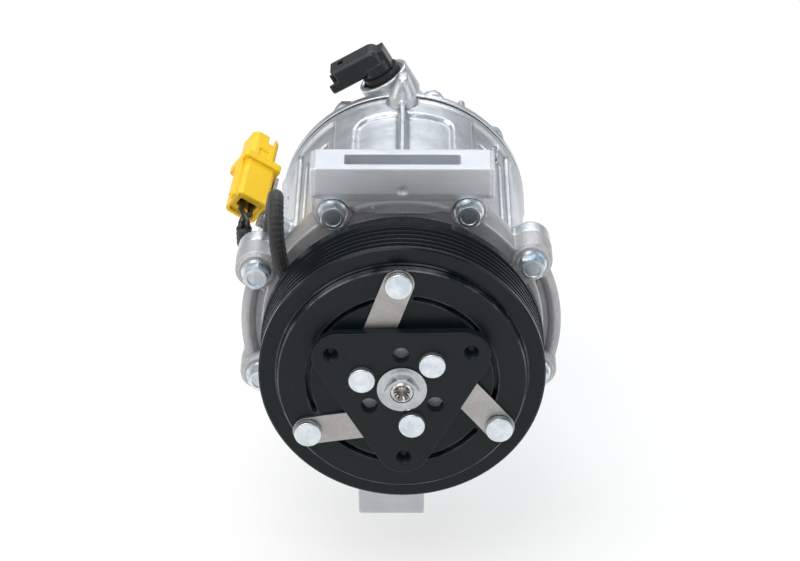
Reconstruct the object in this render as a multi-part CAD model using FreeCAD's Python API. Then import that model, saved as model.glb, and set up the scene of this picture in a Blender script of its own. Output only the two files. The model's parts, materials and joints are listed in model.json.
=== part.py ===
import FreeCAD, Part
import math, os
from FreeCAD import Vector as V

os.makedirs("parts", exist_ok=True)

# ---------------------------------------------------------------------------
# Variable-displacement automotive air-conditioning compressor, magnetic clutch
# Frame: origin on the shaft axis in the middle of the belt grooves,
# Y runs along the shaft towards the rear head, Z is up. Millimetres.
# ---------------------------------------------------------------------------
# pulley
PULLEY_R = 62.0
GROOVES = 6
PITCH = 3.56
GROOVE_Y0 = -10.68
GROOVE_DEPTH = 2.75
RIM_Y0, RIM_Y1 = -13.0, 16.0
RIM_IN = 51.0
HUB_RING_R = 29.5
# pulley bearing 35 x 50 x 20
BRG_IN, BRG_OUT, BRG_Y0, BRG_Y1 = 17.5, 25.0, -10.5, 9.5
# clutch
ARM_R, ARM_Y0, ARM_Y1 = 53.7, -17.55, -13.45
CLUTCH_GAP = 0.45
SPRING_T, SPRING_W = 1.2, 13.4
RIVET_OUT_R, RIVET_OUT_A0 = 47.8, 91.7
RIVET_IN_R, RIVET_IN_A0 = 17.9, 43.7
PLATE_Y0, PLATE_Y1 = -24.7, -20.2
# housings
FLANGE_Y0, FLANGE_Y1 = 30.0, 42.0
BOLT_XZ = [(-30.2, 57.2), (28.8, 58.0), (-64.2, 27.6), (56.6, 32.4),
           (-63.2, -24.2), (59.5, -22.5), (-33.0, -56.5), (28.5, -59.5)]
CASE_R, CASE_Y1 = 57.6, 145.0
SEAM_GAP = 1.2
BLOCK_X = 40.0
BLOCK_Y0, BLOCK_Y1, BLOCK_Z0, BLOCK_Z1 = 26.0, 44.2, 65.0, 79.5
SLOT_X, SLOT_Y0, SLOT_Y1, SLOT_Z = 25.0, 30.0, 39.6, 67.5
MOUNT_R = 4.25
UP_Y, UP_Z = 34.8, 72.2
LUG_X0, LUG_X1, LUG_Y0, LUG_Y1, LUG_Z0 = -20.0, 10.0, 27.5, 45.5, -98.6
LOW_Y, LOW_Z = 36.5, -89.0
# coil lead
LEAD_A, SLEEVE_R, WIRE_R = 152.0, 3.6, 1.6
# mechanism
BORE_N, BORE_PITCH_R, BORE_R = 6, 36.0, 14.0
SHAFT_R = 8.0
SWASH_Y, SWASH_R, SWASH_T = 76.0, 45.5, 8.0
BLOCK_FACE_Y = 103.0
TILT = 18.0
SHOE_R = 8.5
HEAD_BOLT_A = [121, 75, 38, -7, -52, -97, -142, 173]
HEAD_BOLT_R = 52.5
REAR_Y1 = 184.0
# control valve bore: in a plane across the shaft, leaning to the left
VLV = V(-10.0, 165.0, 59.0)
VA = V(-0.5, 0.0, 0.8660254)
VM = V(-0.8660254, 0.0, -0.5)
Y = V(0, 1, 0)
# coil plug frame: origin at the wire end, U along the plug, W to its right, N up
CO = V(-71.1, 82.0, 31.4)
CU = V(0.12490, 0.95904, 0.25426).normalize()
CW = V(0.83740, 0.03555, -0.54544).normalize()
CN = CW.cross(CU).normalize()


# ------------------------------ helpers ------------------------------------
def box(x0, x1, y0, y1, z0, z1):
    return Part.makeBox(x1 - x0, y1 - y0, z1 - z0, V(x0, y0, z0))


def cyl(r, y0, y1, x=0.0, z=0.0):
    return Part.makeCylinder(r, y1 - y0, V(x, y0, z), Y)


def cone(r0, r1, y0, y1, x=0.0, z=0.0):
    return Part.makeCone(r0, r1, y1 - y0, V(x, y0, z), Y)


def ring(ro, ri, y0, y1, x=0.0, z=0.0):
    return cyl(ro, y0, y1, x, z).cut(cyl(ri, y0 - 1, y1 + 1, x, z))


def turn(pts):
    """Solid of revolution about Y from (radius, y) points."""
    w = Part.makePolygon([V(r, y, 0) for r, y in pts] + [V(pts[0][0], pts[0][1], 0)])
    return Part.Face(w).revolve(V(0, 0, 0), Y, 360)


def torus(R, r, y):
    return Part.makeTorus(R, r, V(0, y, 0), Y)


def pol(R, a, y=0.0):
    return V(R * math.cos(math.radians(a)), y, R * math.sin(math.radians(a)))


def rot(shape, a, centre=V(0, 0, 0), axis=V(0, -1, 0)):
    s = shape.copy()
    s.rotate(centre, axis, a)
    return s


def fuse(lst):
    lst = list(lst)
    s = lst[0]
    if len(lst) > 1:
        s = s.multiFuse(lst[1:])
    return s.removeSplitter()


def cut(a, lst):
    lst = [x for x in lst]
    return a.cut(lst[0] if len(lst) == 1 else Part.makeCompound(lst)) if len(lst) == 1 else a.cut(lst)


def group(lst):
    return Part.makeCompound(list(lst))


def poly_prism(pts, y0, y1):
    """Prism along Y from (x, z) points."""
    w = Part.makePolygon([V(x, y0, z) for x, z in pts] + [V(pts[0][0], y0, pts[0][1])])
    return Part.Face(w).extrude(V(0, y1 - y0, 0))


def capsule(p0, p1, r, y0, y1):
    """Slot-shaped prism along Y between two (x, z) points."""
    dx, dz = p1[0] - p0[0], p1[1] - p0[1]
    L = math.hypot(dx, dz)
    b = box(0, L, y0, y1, -r, r)
    b = rot(b, math.degrees(math.atan2(dz, dx)))
    b.translate(V(p0[0], 0, p0[1]))
    return fuse([b, cyl(r, y0, y1, *p0), cyl(r, y0, y1, *p1)])


def arc_slot(R, w, a0, a1, y0, y1):
    """Arc slot between angles a0 and a1 on radius R."""
    sect = box(R - w / 2, R + w / 2, y0, y1, 0, 0.001)
    f = Part.Face(Part.makePolygon([V(R - w / 2, y0, 0), V(R + w / 2, y0, 0), V(R + w / 2, y1, 0),
                                    V(R - w / 2, y1, 0), V(R - w / 2, y0, 0)]))
    s = f.revolve(V(0, 0, 0), V(0, -1, 0), a1 - a0)
    s = rot(s, a0)
    return fuse([s, cyl(w / 2, y0, y1, *xz(R, a0)), cyl(w / 2, y0, y1, *xz(R, a1))])


def xz(R, a):
    return R * math.cos(math.radians(a)), R * math.sin(math.radians(a))


def hexprism(af, y0, y1, x=0.0, z=0.0, a0=0.0):
    R = af / math.sqrt(3)
    return poly_prism([(x + R * math.cos(math.radians(a0 + 60 * i)), z + R * math.sin(math.radians(a0 + 60 * i)))
                       for i in range(6)], y0, y1)


def fil(shape, r, test):
    """Fillet the edges that satisfy the test; keep the plain shape if it fails."""
    es = [e for e in shape.Edges if test(e)]
    if not es:
        return shape
    try:
        s = shape.makeFillet(r, es)
        if s.isValid() and s.Volume > 0:
            return s
    except Exception:
        pass
    return shape


def tube(points, R, r, wall=0.0):
    """Round bar along straight runs joined by tangent arcs of radius R."""
    P = [V(*q) for q in points]
    edges = []
    start = P[0]
    for i in range(1, len(P) - 1):
        a, b, c = P[i - 1], P[i], P[i + 1]
        u = (a - b).normalize()
        w = (c - b).normalize()
        ang = u.getAngle(w)
        Ri = R[i - 1] if isinstance(R, (list, tuple)) else R
        t = Ri / math.tan(ang / 2)
        p0, p1 = b + u * t, b + w * t
        bis = (u + w).normalize()
        mid = b + bis * (Ri / math.sin(ang / 2) - Ri)
        if (p0 - start).Length > 1e-6:
            edges.append(Part.LineSegment(start, p0).toShape())
        edges.append(Part.Arc(p0, mid, p1).toShape())
        start = p1
    edges.append(Part.LineSegment(start, P[-1]).toShape())
    wire = Part.Wire(edges)
    d = (P[1] - P[0]).normalize()
    prof = Part.Wire([Part.makeCircle(r, P[0], d)])
    s = wire.makePipeShell([prof], True, True)
    if s.Volume < 0:
        s.reverse()
    s = Part.Solid(s.Shells[0]) if not s.Solids else s.Solids[0]
    if s.Volume < 0:
        s.reverse()
    return s


def bent_bar(points, R, r):
    """Round bar built run by run: a cylinder for each straight, a turned segment for each bend."""
    P = [V(*q) for q in points]
    parts = []
    start = P[0]
    for i in range(1, len(P) - 1):
        a, b, c = P[i - 1], P[i], P[i + 1]
        u = (a - b).normalize()
        w = (c - b).normalize()
        ang = u.getAngle(w)
        Ri = R[i - 1]
        t = Ri / math.tan(ang / 2)
        p0, p1 = b + u * t, b + w * t
        centre = b + (u + w).normalize() * (Ri / math.sin(ang / 2))
        axis = (u * -1.0).cross(w).normalize()
        if (p0 - start).Length > 1e-6:
            parts.append(Part.makeCylinder(r, (p0 - start).Length, start, p0 - start))
        disc = Part.Face(Part.Wire([Part.makeCircle(r, p0, u)]))
        parts.append(disc.revolve(centre, axis, 180.0 - math.degrees(ang)))
        start = p1
    parts.append(Part.makeCylinder(r, (P[-1] - start).Length, start, P[-1] - start))
    s = parts[0].multiFuse(parts[1:]).removeSplitter()
    s = s.Solids[0]
    if s.Volume < 0:
        s.reverse()
    return s


NODES = {}


def node(name, shape):
    NODES[name] = shape


# ------------------------------ pulley -------------------------------------
pts = [(RIM_IN, RIM_Y1), (PULLEY_R - 0.6, RIM_Y1), (PULLEY_R, RIM_Y1 - 0.6)]
top = GROOVE_Y0 + GROOVES * PITCH
for i in range(GROOVES):
    y1 = top - i * PITCH
    y0 = y1 - PITCH
    flat = 0.35
    pts += [(PULLEY_R - (0.35 if i else 0.0), y1 - (0.0 if i == 0 else flat)),
            (PULLEY_R - GROOVE_DEPTH, y1 - PITCH / 2 + 0.45),
            (PULLEY_R - GROOVE_DEPTH, y1 - PITCH / 2 - 0.45)]
    pts += [(PULLEY_R - (0.35 if i < GROOVES - 1 else 0.0), y0 + (flat if i < GROOVES - 1 else 0.0))]
pts += [(PULLEY_R, RIM_Y0 + 0.7), (PULLEY_R - 0.7, RIM_Y0), (HUB_RING_R - 4.0, RIM_Y0),
        (HUB_RING_R - 4.6, RIM_Y0 + 0.6), (HUB_RING_R - 5.5, -11.1), (BRG_OUT, -11.1),
        (BRG_OUT, 10.3), (HUB_RING_R, 10.3), (HUB_RING_R, -6.5), (RIM_IN, -6.5)]
pulley = turn(pts)
slots = []
for R, off in ((34.5, 0), (44.5, 30)):
    for k in range(6):
        slots.append(arc_slot(R, 2.2, off + 60 * k + 4.5, off + 60 * k + 55.5, -14, -6))
pulley = pulley.cut(slots)
# balance dots and belt-side bevel are part of the rim
node("pulley", pulley)

# pulley bearing: rings with a ball groove, nine balls a side
BALL_R, BALL_PCD = 2.2, 21.25
rows = (-5.0, 4.0)
outer = turn([(BALL_PCD + 1.35, BRG_Y0), (BRG_OUT, BRG_Y0), (BRG_OUT, BRG_Y1), (BALL_PCD + 1.35, BRG_Y1)])
inner = turn([(BRG_IN, BRG_Y0), (BALL_PCD - 1.35, BRG_Y0), (BALL_PCD - 1.35, BRG_Y1), (BRG_IN, BRG_Y1)])
for y in rows:
    outer = outer.cut(torus(BALL_PCD, BALL_R + 0.06, y))
    inner = inner.cut(torus(BALL_PCD, BALL_R + 0.06, y))
node("bearing_outer_ring", outer)
node("bearing_inner_ring", inner)
NB = 18
node("bearing_balls", group([Part.makeSphere(BALL_R, pol(BALL_PCD, 360 / NB * k + (10 if y > 0 else 0), y))
                             for y in rows for k in range(NB)]))

# ------------------------------ field coil ---------------------------------
coil_shell = turn([(30.3, -5.7), (32.3, -5.7), (32.3, 14.2), (47.6, 14.2), (47.6, -5.7), (50.0, -5.7),
                   (50.0, 16.4), (20.0, 16.4), (20.0, 14.2), (30.3, 14.2)])
coil_shell = cut(coil_shell, [cyl(2.2, 12, 18, *xz(27.0, a)) for a in (0, 90, 180, 270)] +
                 [cyl(4.4, 12, 18, *xz(42.0, 152.0))])
node("coil_shell", coil_shell)
node("coil_winding", ring(47.55, 32.35, -4.9, 14.15))
# two equal circlips on the nose: one holds the bearing, one holds the coil
node("nose_snap_rings", group([cut(ring(19.8, 16.1, -12.2, -10.6), [box(-2.5, 2.5, -13, -9, -25, -14)]),
                               cut(ring(19.8, 16.1, 10.6, 12.2), [box(-2.5, 2.5, 9, 13, -25, -14)])]))

# ------------------------------ clutch driver ------------------------------
arm = turn([(21.0, ARM_Y0 + 0.3), (21.3, ARM_Y0), (ARM_R - 0.7, ARM_Y0), (ARM_R, ARM_Y0 + 0.7), (ARM_R, ARM_Y1),
            (21.0, ARM_Y1)])
for k in range(3):
    a = RIVET_OUT_A0 + 120 * k
    arm = arm.cut(arc_slot(40.5, 2.2, a + 10, a + 56, ARM_Y0 - 1, ARM_Y1 + 1))
    arm = arm.cut(arc_slot(40.5, 2.2, a + 64, a + 110, ARM_Y0 - 1, ARM_Y1 + 1))
    arm = arm.cut(cyl(3.05, ARM_Y0 - 1, ARM_Y1 + 1, *xz(RIVET_OUT_R, a)))
node("armature_plate", arm)


def outer_rivet(a):
    x, z = xz(RIVET_OUT_R, a)
    h0 = ARM_Y0 - SPRING_T - CLUTCH_GAP - 0.06
    head = cyl(5.9, -22.05, h0, x, z)
    head = fil(head, 0.6, lambda e: abs(e.BoundBox.YMax + 22.05) < 1e-4)
    shank = cyl(2.95, h0 - 0.5, ARM_Y1 - 0.02, x, z)
    flare = cone(2.95, 3.0, ARM_Y1 - 1.4, ARM_Y1 - 0.02, x, z)
    return fuse([head, shank])


node("armature_rivets", group([outer_rivet(RIVET_OUT_A0 + 120 * k) for k in range(3)]))

# inner rivet k holds the spring whose outer end is rivet k
PAIRS = [(RIVET_OUT_A0, RIVET_IN_A0 + 120), (RIVET_OUT_A0 + 120, RIVET_IN_A0 + 240), (RIVET_OUT_A0 + 240, RIVET_IN_A0)]
S_OUT0 = ARM_Y0 - 0.02 - SPRING_T       # outer end, front face
S_IN1 = PLATE_Y1 + 0.02 + SPRING_T      # inner end, rear face


def leaf(ao, ai):
    xo, zo = xz(RIVET_OUT_R, ao)
    xi, zi = xz(RIVET_IN_R, ai)
    L = math.hypot(xi - xo, zi - zo)
    yo0, yo1 = S_OUT0, S_OUT0 + SPRING_T
    yi0, yi1 = S_IN1 - SPRING_T, S_IN1
    # side profile along the length: flat end, ramp, flat end
    s0, s1, s2, s3 = -8, 8.5, L - 8.5, L + 8
    prof = [V(s0, yo0, 0), V(s1, yo0, 0), V(s2, yi0, 0), V(s3, yi0, 0), V(s3, yi1, 0), V(s2, yi1, 0), V(s1, yo1, 0), V(s0, yo1, 0)]
    w = Part.makePolygon(prof + [prof[0]])
    s = Part.Face(w).extrude(V(0, 0, 30))
    s.translate(V(0, 0, -15))
    plan = capsule((0, 0), (L, 0), SPRING_W / 2, -30, -10)
    s = s.common(plan)
    s = s.cut([cyl(3.05, -30, -10, 0, 0), cyl(2.85, -30, -10, L, 0)])
    s = rot(s, math.degrees(math.atan2(zi - zo, xi - xo)))
    s.translate(V(xo, 0, zo))
    return s


node("leaf_springs", group([leaf(*pq) for pq in PAIRS]))


def rounded_triangle(inr, r, a0, y0, y1):
    cs = [xz(2 * (inr - r), a0 + 120 * k) for k in range(3)]
    s = fuse([cyl(r, y0, y1, *c) for c in cs] +
             [poly_prism([xz(2 * inr - 2 * r, a0 + 120 * k) for k in range(3)], y0, y1)])
    sides = []
    for k in range(3):
        n = xz(1.0, a0 + 60 + 120 * k)
        a, b = cs[k], cs[(k + 1) % 3]
        sides.append(poly_prism([a, b, (b[0] + n[0] * r, b[1] + n[1] * r), (a[0] + n[0] * r, a[1] + n[1] * r)], y0, y1))
    return fuse([s] + sides)


plate = rounded_triangle(27.0, 11.5, 31.2 - 0.2, PLATE_Y0, PLATE_Y1)
plate = plate.cut([cyl(7.55, PLATE_Y0 - 1, PLATE_Y1 + 1)] +
                  [cyl(2.85, PLATE_Y0 - 1, PLATE_Y1 + 1, *xz(RIVET_IN_R, RIVET_IN_A0 + 120 * k)) for k in range(3)] +
                  [cyl(3.7, PLATE_Y0 - 1, PLATE_Y1 + 1, *xz(16.4, 91.3 + 120 * k)) for k in range(3)] +
                  [cone(3.5, 1.2, PLATE_Y0 - 0.1, PLATE_Y0 + 3.6, *xz(34.6, 31.2 + 120 * k)) for k in range(3)])
plate = fil(plate, 0.7, lambda e: abs(e.BoundBox.YMax - PLATE_Y0) < 1e-4 and max(abs(e.BoundBox.XMax), abs(e.BoundBox.XMin), abs(e.BoundBox.ZMin), abs(e.BoundBox.ZMax)) > 26)
node("hub_plate", plate)


def inner_rivet(a):
    x, z = xz(RIVET_IN_R, a)
    head = cyl(5.7, -27.5, PLATE_Y0 - 0.02, x, z)
    head = fil(head, 0.6, lambda e: abs(e.BoundBox.YMax + 27.5) < 1e-4)
    return fuse([head, cyl(2.8, PLATE_Y0 - 0.5, S_IN1 + 0.3, x, z), cyl(4.6, S_IN1 + 0.02, S_IN1 + 0.9, x, z)])


node("hub_rivets", group([inner_rivet(RIVET_IN_A0 + 120 * k) for k in range(3)]))

hub = turn([(6.05, -24.0), (7.5, -24.0), (7.5, PLATE_Y1 + 0.02), (11.0, PLATE_Y1 + 0.02), (11.0, -18.0), (20.0, -18.0), (20.3, -17.7), (20.3, -15.8), (11.0, -15.8), (11.0, -13.4), (6.05, -13.4)])
node("clutch_hub", hub)
node("clutch_shim", ring(8.6, 6.05, -13.36, -12.36))
nut_flange = turn([(5.05, -24.72), (10.7, -24.72), (10.7, -25.5), (8.4, -26.1), (5.05, -26.1)])
nut = fuse([nut_flange, hexprism(13.0, -28.3, -25.6, 0, 0, 0).common(turn([(0, -28.3), (6.3, -28.3), (7.9, -27.4), (7.9, -25), (0, -25)]))])
nut = nut.cut(cyl(5.05, -40, 0))
node("shaft_nut", nut)

# ------------------------------ front housing ------------------------------
fh = turn([(13.5, -12.9), (14.2, -12.9), (17.45, -11.9)] + [(17.45, 16.0), (19.6, 16.45), (51.0, 16.45), (53.5, 19.0),
          (54.5, 30.0), (62.5, 30.0), (62.5, 42.0), (49.8, 42.0), (49.8, 50.0), (45.5, 50.0), (45.5, 42.0), (20.0, 42.0), (20.0, 27.0),
          (8.6, 27.0), (8.6, 22.0), (12.7, 22.0), (12.7, 8.0), (13.5, 8.0)])
lobes = [cyl(9.3, FLANGE_Y0, FLANGE_Y1, x, z) for x, z in BOLT_XZ]
pads = [cyl(8.1, FLANGE_Y0 - 1.4, FLANGE_Y1, x, z) for x, z in BOLT_XZ]
webs = []
for (x, z) in BOLT_XZ:
    R = math.hypot(x, z)
    webs.append(capsule((x * 50 / R, z * 50 / R), (x, z), 9.3, FLANGE_Y0 + 1.5, FLANGE_Y1))
# left bulge between the two left bolts, with two concentric ribs
bulge = poly_prism([(-50 * 1, 0)] + [xz(70.5, a) for a in range(160, 203, 4)], FLANGE_Y0 + 3.0, FLANGE_Y1)
rib_parts = []
for R, r, a0, a1 in ((68.6, 3.0, 164, 194), (61.5, 2.6, 166, 193), (67.6, 2.8, -14, 22), (61.5, 2.4, -10, 18)):
    w = Part.Wire([Part.makeCircle(r, V(R, FLANGE_Y0 + 3.6, 0), V(0, 0, 1))])
    t = Part.Face(w).revolve(V(0, 0, 0), V(0, -1, 0), a1 - a0)
    t = rot(t, a0)
    rib_parts += [t, Part.makeSphere(r, pol(R, a0, FLANGE_Y0 + 3.6)), Part.makeSphere(r, pol(R, a1, FLANGE_Y0 + 3.6))]
bulge_r = poly_prism([(50 * 1, 0)] + [xz(68.0, a) for a in range(-18, 27, 4)], FLANGE_Y0 + 3.0, FLANGE_Y1)
# crescent rib over the pulley, under the mounting block
cres = []
w = Part.Wire([Part.makeCircle(2.6, V(62.8, FLANGE_Y0 - 1.2, 0), V(0, 0, 1))])
t = rot(Part.Face(w).revolve(V(0, 0, 0), V(0, -1, 0), 36), 72)
cres = [t, Part.makeSphere(2.6, pol(62.8, 72, FLANGE_Y0 - 1.2)), Part.makeSphere(2.6, pol(62.8, 108, FLANGE_Y0 - 1.2)),
        arc_slot(62.8, 5.2, 72, 108, FLANGE_Y0 - 1.2, FLANGE_Y0 + 2)]
# upper mounting block and its neck down to the flange
blk = box(-BLOCK_X, BLOCK_X, BLOCK_Y0, BLOCK_Y1, BLOCK_Z0, BLOCK_Z1)
blk = fil(blk, 1.0, lambda e: abs(e.BoundBox.YMax - e.BoundBox.YMin) > 10 and e.BoundBox.ZMin > BLOCK_Z1 - 0.1)
blk = fuse([blk, box(-38.0, 38.0, BLOCK_Y0 - 0.5, BLOCK_Y1 + 0.4, BLOCK_Z0 + 2, BLOCK_Z1 + 0.5)])
neck = poly_prism([(-37.0, 66.0), (-33.0, 61.5), (-36.0, 52.0), (-30, 40), (30, 40), (35.0, 52.0), (32.5, 61.5), (37.0, 66.0)], BLOCK_Y0 + 4.2, FLANGE_Y1)
neck2 = poly_prism([(-35.0, 72.0), (-34.0, 63.2), (-22.0, 60.2), (-19.5, 58.7), (-10, 57.5), (10, 57.5), (19.5, 58.7), (22.0, 60.2), (34.0, 63.2), (35.0, 72.0)], BLOCK_Y0 + 0.6, FLANGE_Y1)
# lower lug
lug = fuse([box(LUG_X0, LUG_X1, LUG_Y0, LUG_Y1, LUG_Z0, -74.5), box(LUG_X0, LUG_X1, LUG_Y0, FLANGE_Y1, -76.0, -50.0)])
lug = fil(lug, 2.5, lambda e: abs(e.BoundBox.XMax - e.BoundBox.XMin) > 20 and e.BoundBox.ZMax < LUG_Z0 + 0.1)
lug_neck = poly_prism([(LUG_X0, -84.0), (LUG_X0 - 9, -58.0), (LUG_X0 - 9, -50), (LUG_X1 + 9, -50), (LUG_X1 + 9, -58), (LUG_X1, -84.0)], 30.0, 42.0)
fh = fuse([fh] + lobes + pads + webs + [bulge, bulge_r, blk, neck, neck2, lug, lug_neck] + rib_parts + cres)
# the upper and lower additions stay outside the clutch space and the case register
fh = fh.cut([ring(49.9, 48.0, 44.0, 46.4)])
fh = fh.cut([box(-SLOT_X, SLOT_X, SLOT_Y0, SLOT_Y1, SLOT_Z, 90),
             Part.makeCylinder(MOUNT_R, 100, V(-50, UP_Y, UP_Z), V(1, 0, 0)),
             Part.makeCylinder(MOUNT_R, 100, V(-50, LOW_Y, LOW_Z), V(1, 0, 0)),
             Part.makeCone(2.4, 0.3, 2.2, V(0, BLOCK_Y0 - 0.55, 69.0), Y),
             cyl(44.8, 42.0, 60.0),
             capsule(xz(42.0, LEAD_A), xz(66.0, LEAD_A), 4.3, 16.0, 26.6)] +
            [cyl(7.4, BLOCK_Y0 - 4.0, FLANGE_Y0 - 1.4, x, z) for x, z in BOLT_XZ[:2]] +
            [cyl(3.3, 10, 60, x, z) for x, z in BOLT_XZ])
# chamfered ends of the block
for sx in (-1, 1):
    fh = fh.cut(Part.makeBox(3.4, 30, 3.4, V(sx * 40 - 1.7, 20, BLOCK_Z0 - 2.9)))
# grooves for the two circlips on the nose
fh = fh.cut([ring(20, 16.05, -12.25, -10.55), ring(20, 16.05, 10.55, 12.25), cyl(45.45, 42.0, 60.0)])
node("front_housing", fh)


def flange_bolt(x, z, seat, length):
    f = turn([(0, seat), (6.6, seat), (6.6, seat - 0.9), (5.6, seat - 1.7), (0, seat - 1.7)])
    f.translate(V(x, 0, z))
    h = hexprism(10.0, seat - 6.4, seat - 1.0, x, z, 17.0)
    c = turn([(0, seat - 6.4), (4.9, seat - 6.4), (6.0, seat - 5.6), (6.0, seat), (0, seat)])
    c.translate(V(x, 0, z))
    h = h.common(c)
    s = fuse([f, h, cyl(3.0, seat - 0.5, seat + length, x, z)])
    return s.cut(turn([(0, seat - 7.0), (3.9, seat - 7.0), (3.5, seat - 5.9), (0, seat - 5.9)]).translated(V(x, 0, z)))


node("flange_bolts", group([flange_bolt(x, z, FLANGE_Y0 - 1.42, 21.0) for x, z in BOLT_XZ]))

# ------------------------------ crankcase ----------------------------------
case = turn([(50.2, 42.05), (62.0, 42.05), (62.0, 49.0), (57.2, 55.0), (54.9, 68.0), (54.6, 134.0),
             (55.2, 138.0), (57.0, 140.6), (57.4, 141.2), (57.4, CASE_Y1), (0, CASE_Y1), (0, BLOCK_FACE_Y), (50.2, BLOCK_FACE_Y)])
caseparts = []
for (x, z) in BOLT_XZ:
    R = math.hypot(x, z)
    caseparts.append(capsule((x * 48 / R, z * 48 / R), (x, z), 8.9, 42.05, 51.6))
# longitudinal ribs along the sides and the bottom
for a in (152, 28, 205, -28, -90, -60, -120):
    r = box(-2.2, 2.2, 50.0, 139.5, 50.0, 56.6)
    caseparts.append(rot(r, a - 90))
# raised saddle over the top of the barrel, level with the seam flange
saddle = turn([(50.5, 50.0), (57.4, 50.0), (57.4, 60.0), (57.1, 90.0), (57.1, 141.0), (50.5, 141.0)])
caseparts.append(saddle.common(poly_prism([(0, 0), xz(90, 124.5), xz(110, 90), xz(90, 55.5)], 48.0, 142.0)))
# centre rib on top, running up the rear boss
caseparts += [box(-1.45, 0.75, 46.0, 134.0, 50.0, 60.6),
              Part.makeCylinder(6.3, 13.0, V(-0.4, 138.3, 48.0), V(0, 0, 1)), Part.makeCone(6.3, 2.2, 9.2, V(-0.4, 138.3, 61.0), V(0, 0, 1)),
              poly_prism([(-6.7, 48.0), (5.9, 48.0), (5.9, 60.5), (2.0, 70.3), (-2.2, 70.3), (-6.7, 62.0)], 138.3, 144.9),
              poly_prism([(-1.45, 50.0), (0.75, 50.0), (0.75, 70.3), (-1.45, 70.3)], 134.0, 140.0)]
lug_c = CO + CU * -7.2 + CN * 5.0
caseparts.append(Part.makeCylinder(5.8, 14.0, lug_c + CW * 10.4, CW))
case = fuse([case] + caseparts)
# keep everything behind the flange face and in front of the seam
case = case.cut([cyl(50.2, 30, BLOCK_FACE_Y), box(-200, 200, CASE_Y1, 220, -200, 200), box(-45.0, 45.0, 40.0, 45.2, 64.5, 90.0)])
bores = [cyl(BORE_R, 95.0, 150.0, *xz(BORE_PITCH_R, 30 + 60 * k)) for k in range(BORE_N)]
# recessed panels on the upper flanks of the case
panels = []
for a0, a1, floor_r, corner in ((92.2, 112.8, 55.2, 9.0), (66.2, 88.2, 55.2, 6.0), (130, 146, 53.4, 3.0), (34, 50, 53.4, 3.0)):
    y1 = 128.0
    p_ = rot(Part.Face(Part.makePolygon([V(floor_r, 70, 0), V(70, 70, 0), V(70, y1, 0), V(floor_r, y1, 0), V(floor_r, 70, 0)])).revolve(V(0, 0, 0), V(0, -1, 0), a1 - a0), a0)
    outer_a = a1 if a0 > 90 else a0
    sign = -1.0 if a0 > 90 else 1.0
    # the far outer corner of each panel is rounded off in plan
    c_a = outer_a + sign * math.degrees(corner / 56.0)
    keep = rot(box(-80, 80, y1 - corner, y1 + 1, 40, 80), c_a - 90).common(p_)
    wedge = poly_prism([(0, 0), xz(90, outer_a - sign * 3), xz(90, c_a)], y1 - corner, y1 + 1)
    disc = Part.makeCylinder(corner, 30.0, pol(48.0, c_a, y1 - corner), pol(1.0, c_a))
    p_ = p_.cut(keep.common(wedge).cut(disc))
    panels.append(p_)
case = case.cut(bores + panels + [cyl(SHAFT_R + 0.5, 90, 132.0), cyl(11.05, 108.0, 132.0)] +
                [Part.makeCylinder(2.05, 9.0, lug_c + CW * 10.0, CW)] +
                [cyl(3.05, 40.0, 51.3, x, z) for x, z in BOLT_XZ] +
                [cyl(2.55, 128.0, 150.0, *xz(HEAD_BOLT_R, a)) for a in HEAD_BOLT_A])
# recess for the seam ring and the gasket register
case = case.cut(ring(59.5, 55.8, CASE_Y1 - 0.8, CASE_Y1 + 1))
node("crankcase", case)
node("case_seal_rings", group([ring(50.14, 48.05, 44.1, 46.3), torus(56.55, 0.7, CASE_Y1 + 0.1)]))

# ------------------------------ valve pack ---------------------------------
VP_R = 55.6
def drilled(shape, holes):
    return shape.cut(holes)
bolt_holes = [cyl(2.8, 100, 200, *xz(HEAD_BOLT_R, a)) for a in HEAD_BOLT_A]
s_ports = [cyl(3.2, 100, 200, *xz(BORE_PITCH_R + 6.5, 30 + 60 * k)) for k in range(6)]
d_ports = [cyl(2.6, 100, 200, *xz(BORE_PITCH_R - 9.5, 30 + 60 * k)) for k in range(6)]
node("suction_reed", ring(VP_R, 3.2, 145.02, 145.32).cut(bolt_holes + d_ports +
     [ring(BORE_PITCH_R + 13, BORE_PITCH_R + 12.2, 145, 146).common(poly_prism([(0, 0), xz(90, 30 + 60 * k - 9), xz(90, 30 + 60 * k + 9)], 140, 150)) for k in range(6)]))
node("valve_plate", ring(VP_R, 3.2, 145.36, 148.16).cut(bolt_holes + d_ports + s_ports))
node("discharge_reed", ring(31.0, 3.2, 148.2, 148.5).cut([poly_prism([xz(18, 60 * k - 12), xz(34, 60 * k - 8), xz(34, 60 * k + 8), xz(18, 60 * k + 12)], 148, 149) for k in range(6)]))
node("head_gasket", ring(VP_R, 50.0, 148.2, 148.56).cut(bolt_holes))
node("valve_pack_bolt", fuse([cyl(3.1, 136.0, 149.0), hexprism(8.0, 148.55, 153.0)]))
NODES["crankcase"] = NODES["crankcase"].cut(cyl(3.15, 134.0, 150.0))

# ------------------------------ rear head ----------------------------------
RH0 = CASE_Y1 + SEAM_GAP
head = turn([(0, 148.6), (57.4, 148.6), (57.4, 150.6), (56.8, 151.2), (51.5, 152.6), (50.2, 160.0), (46.0, 171.0), (41.0, 180.0), (36.0, REAR_Y1), (0, REAR_Y1)])
skirt = ring(57.4, 55.8, RH0, 150.0)
bosses = []
HEAD_SEAT = 152.6
for a in HEAD_BOLT_A:
    x, z = xz(HEAD_BOLT_R, a)
    bosses.append(cyl(5.9, 149.5, HEAD_SEAT, x, z))
vb = Part.makeCylinder(12.6, 66.0, VLV - VA * 66.0, VA)
port_blk = box(-26.0, 26.0, 165.0, 193.0, -34.0, 2.0)
port_blk = fil(port_blk, 8.0, lambda e: abs(e.BoundBox.YMax - e.BoundBox.YMin) > 20)
ribs = [rot(box(-1.6, 1.6, 150, 176.0, 36.0, 49.5), a - 90) for a in (55, 15, -28, -74, -118, 195)]
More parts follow.
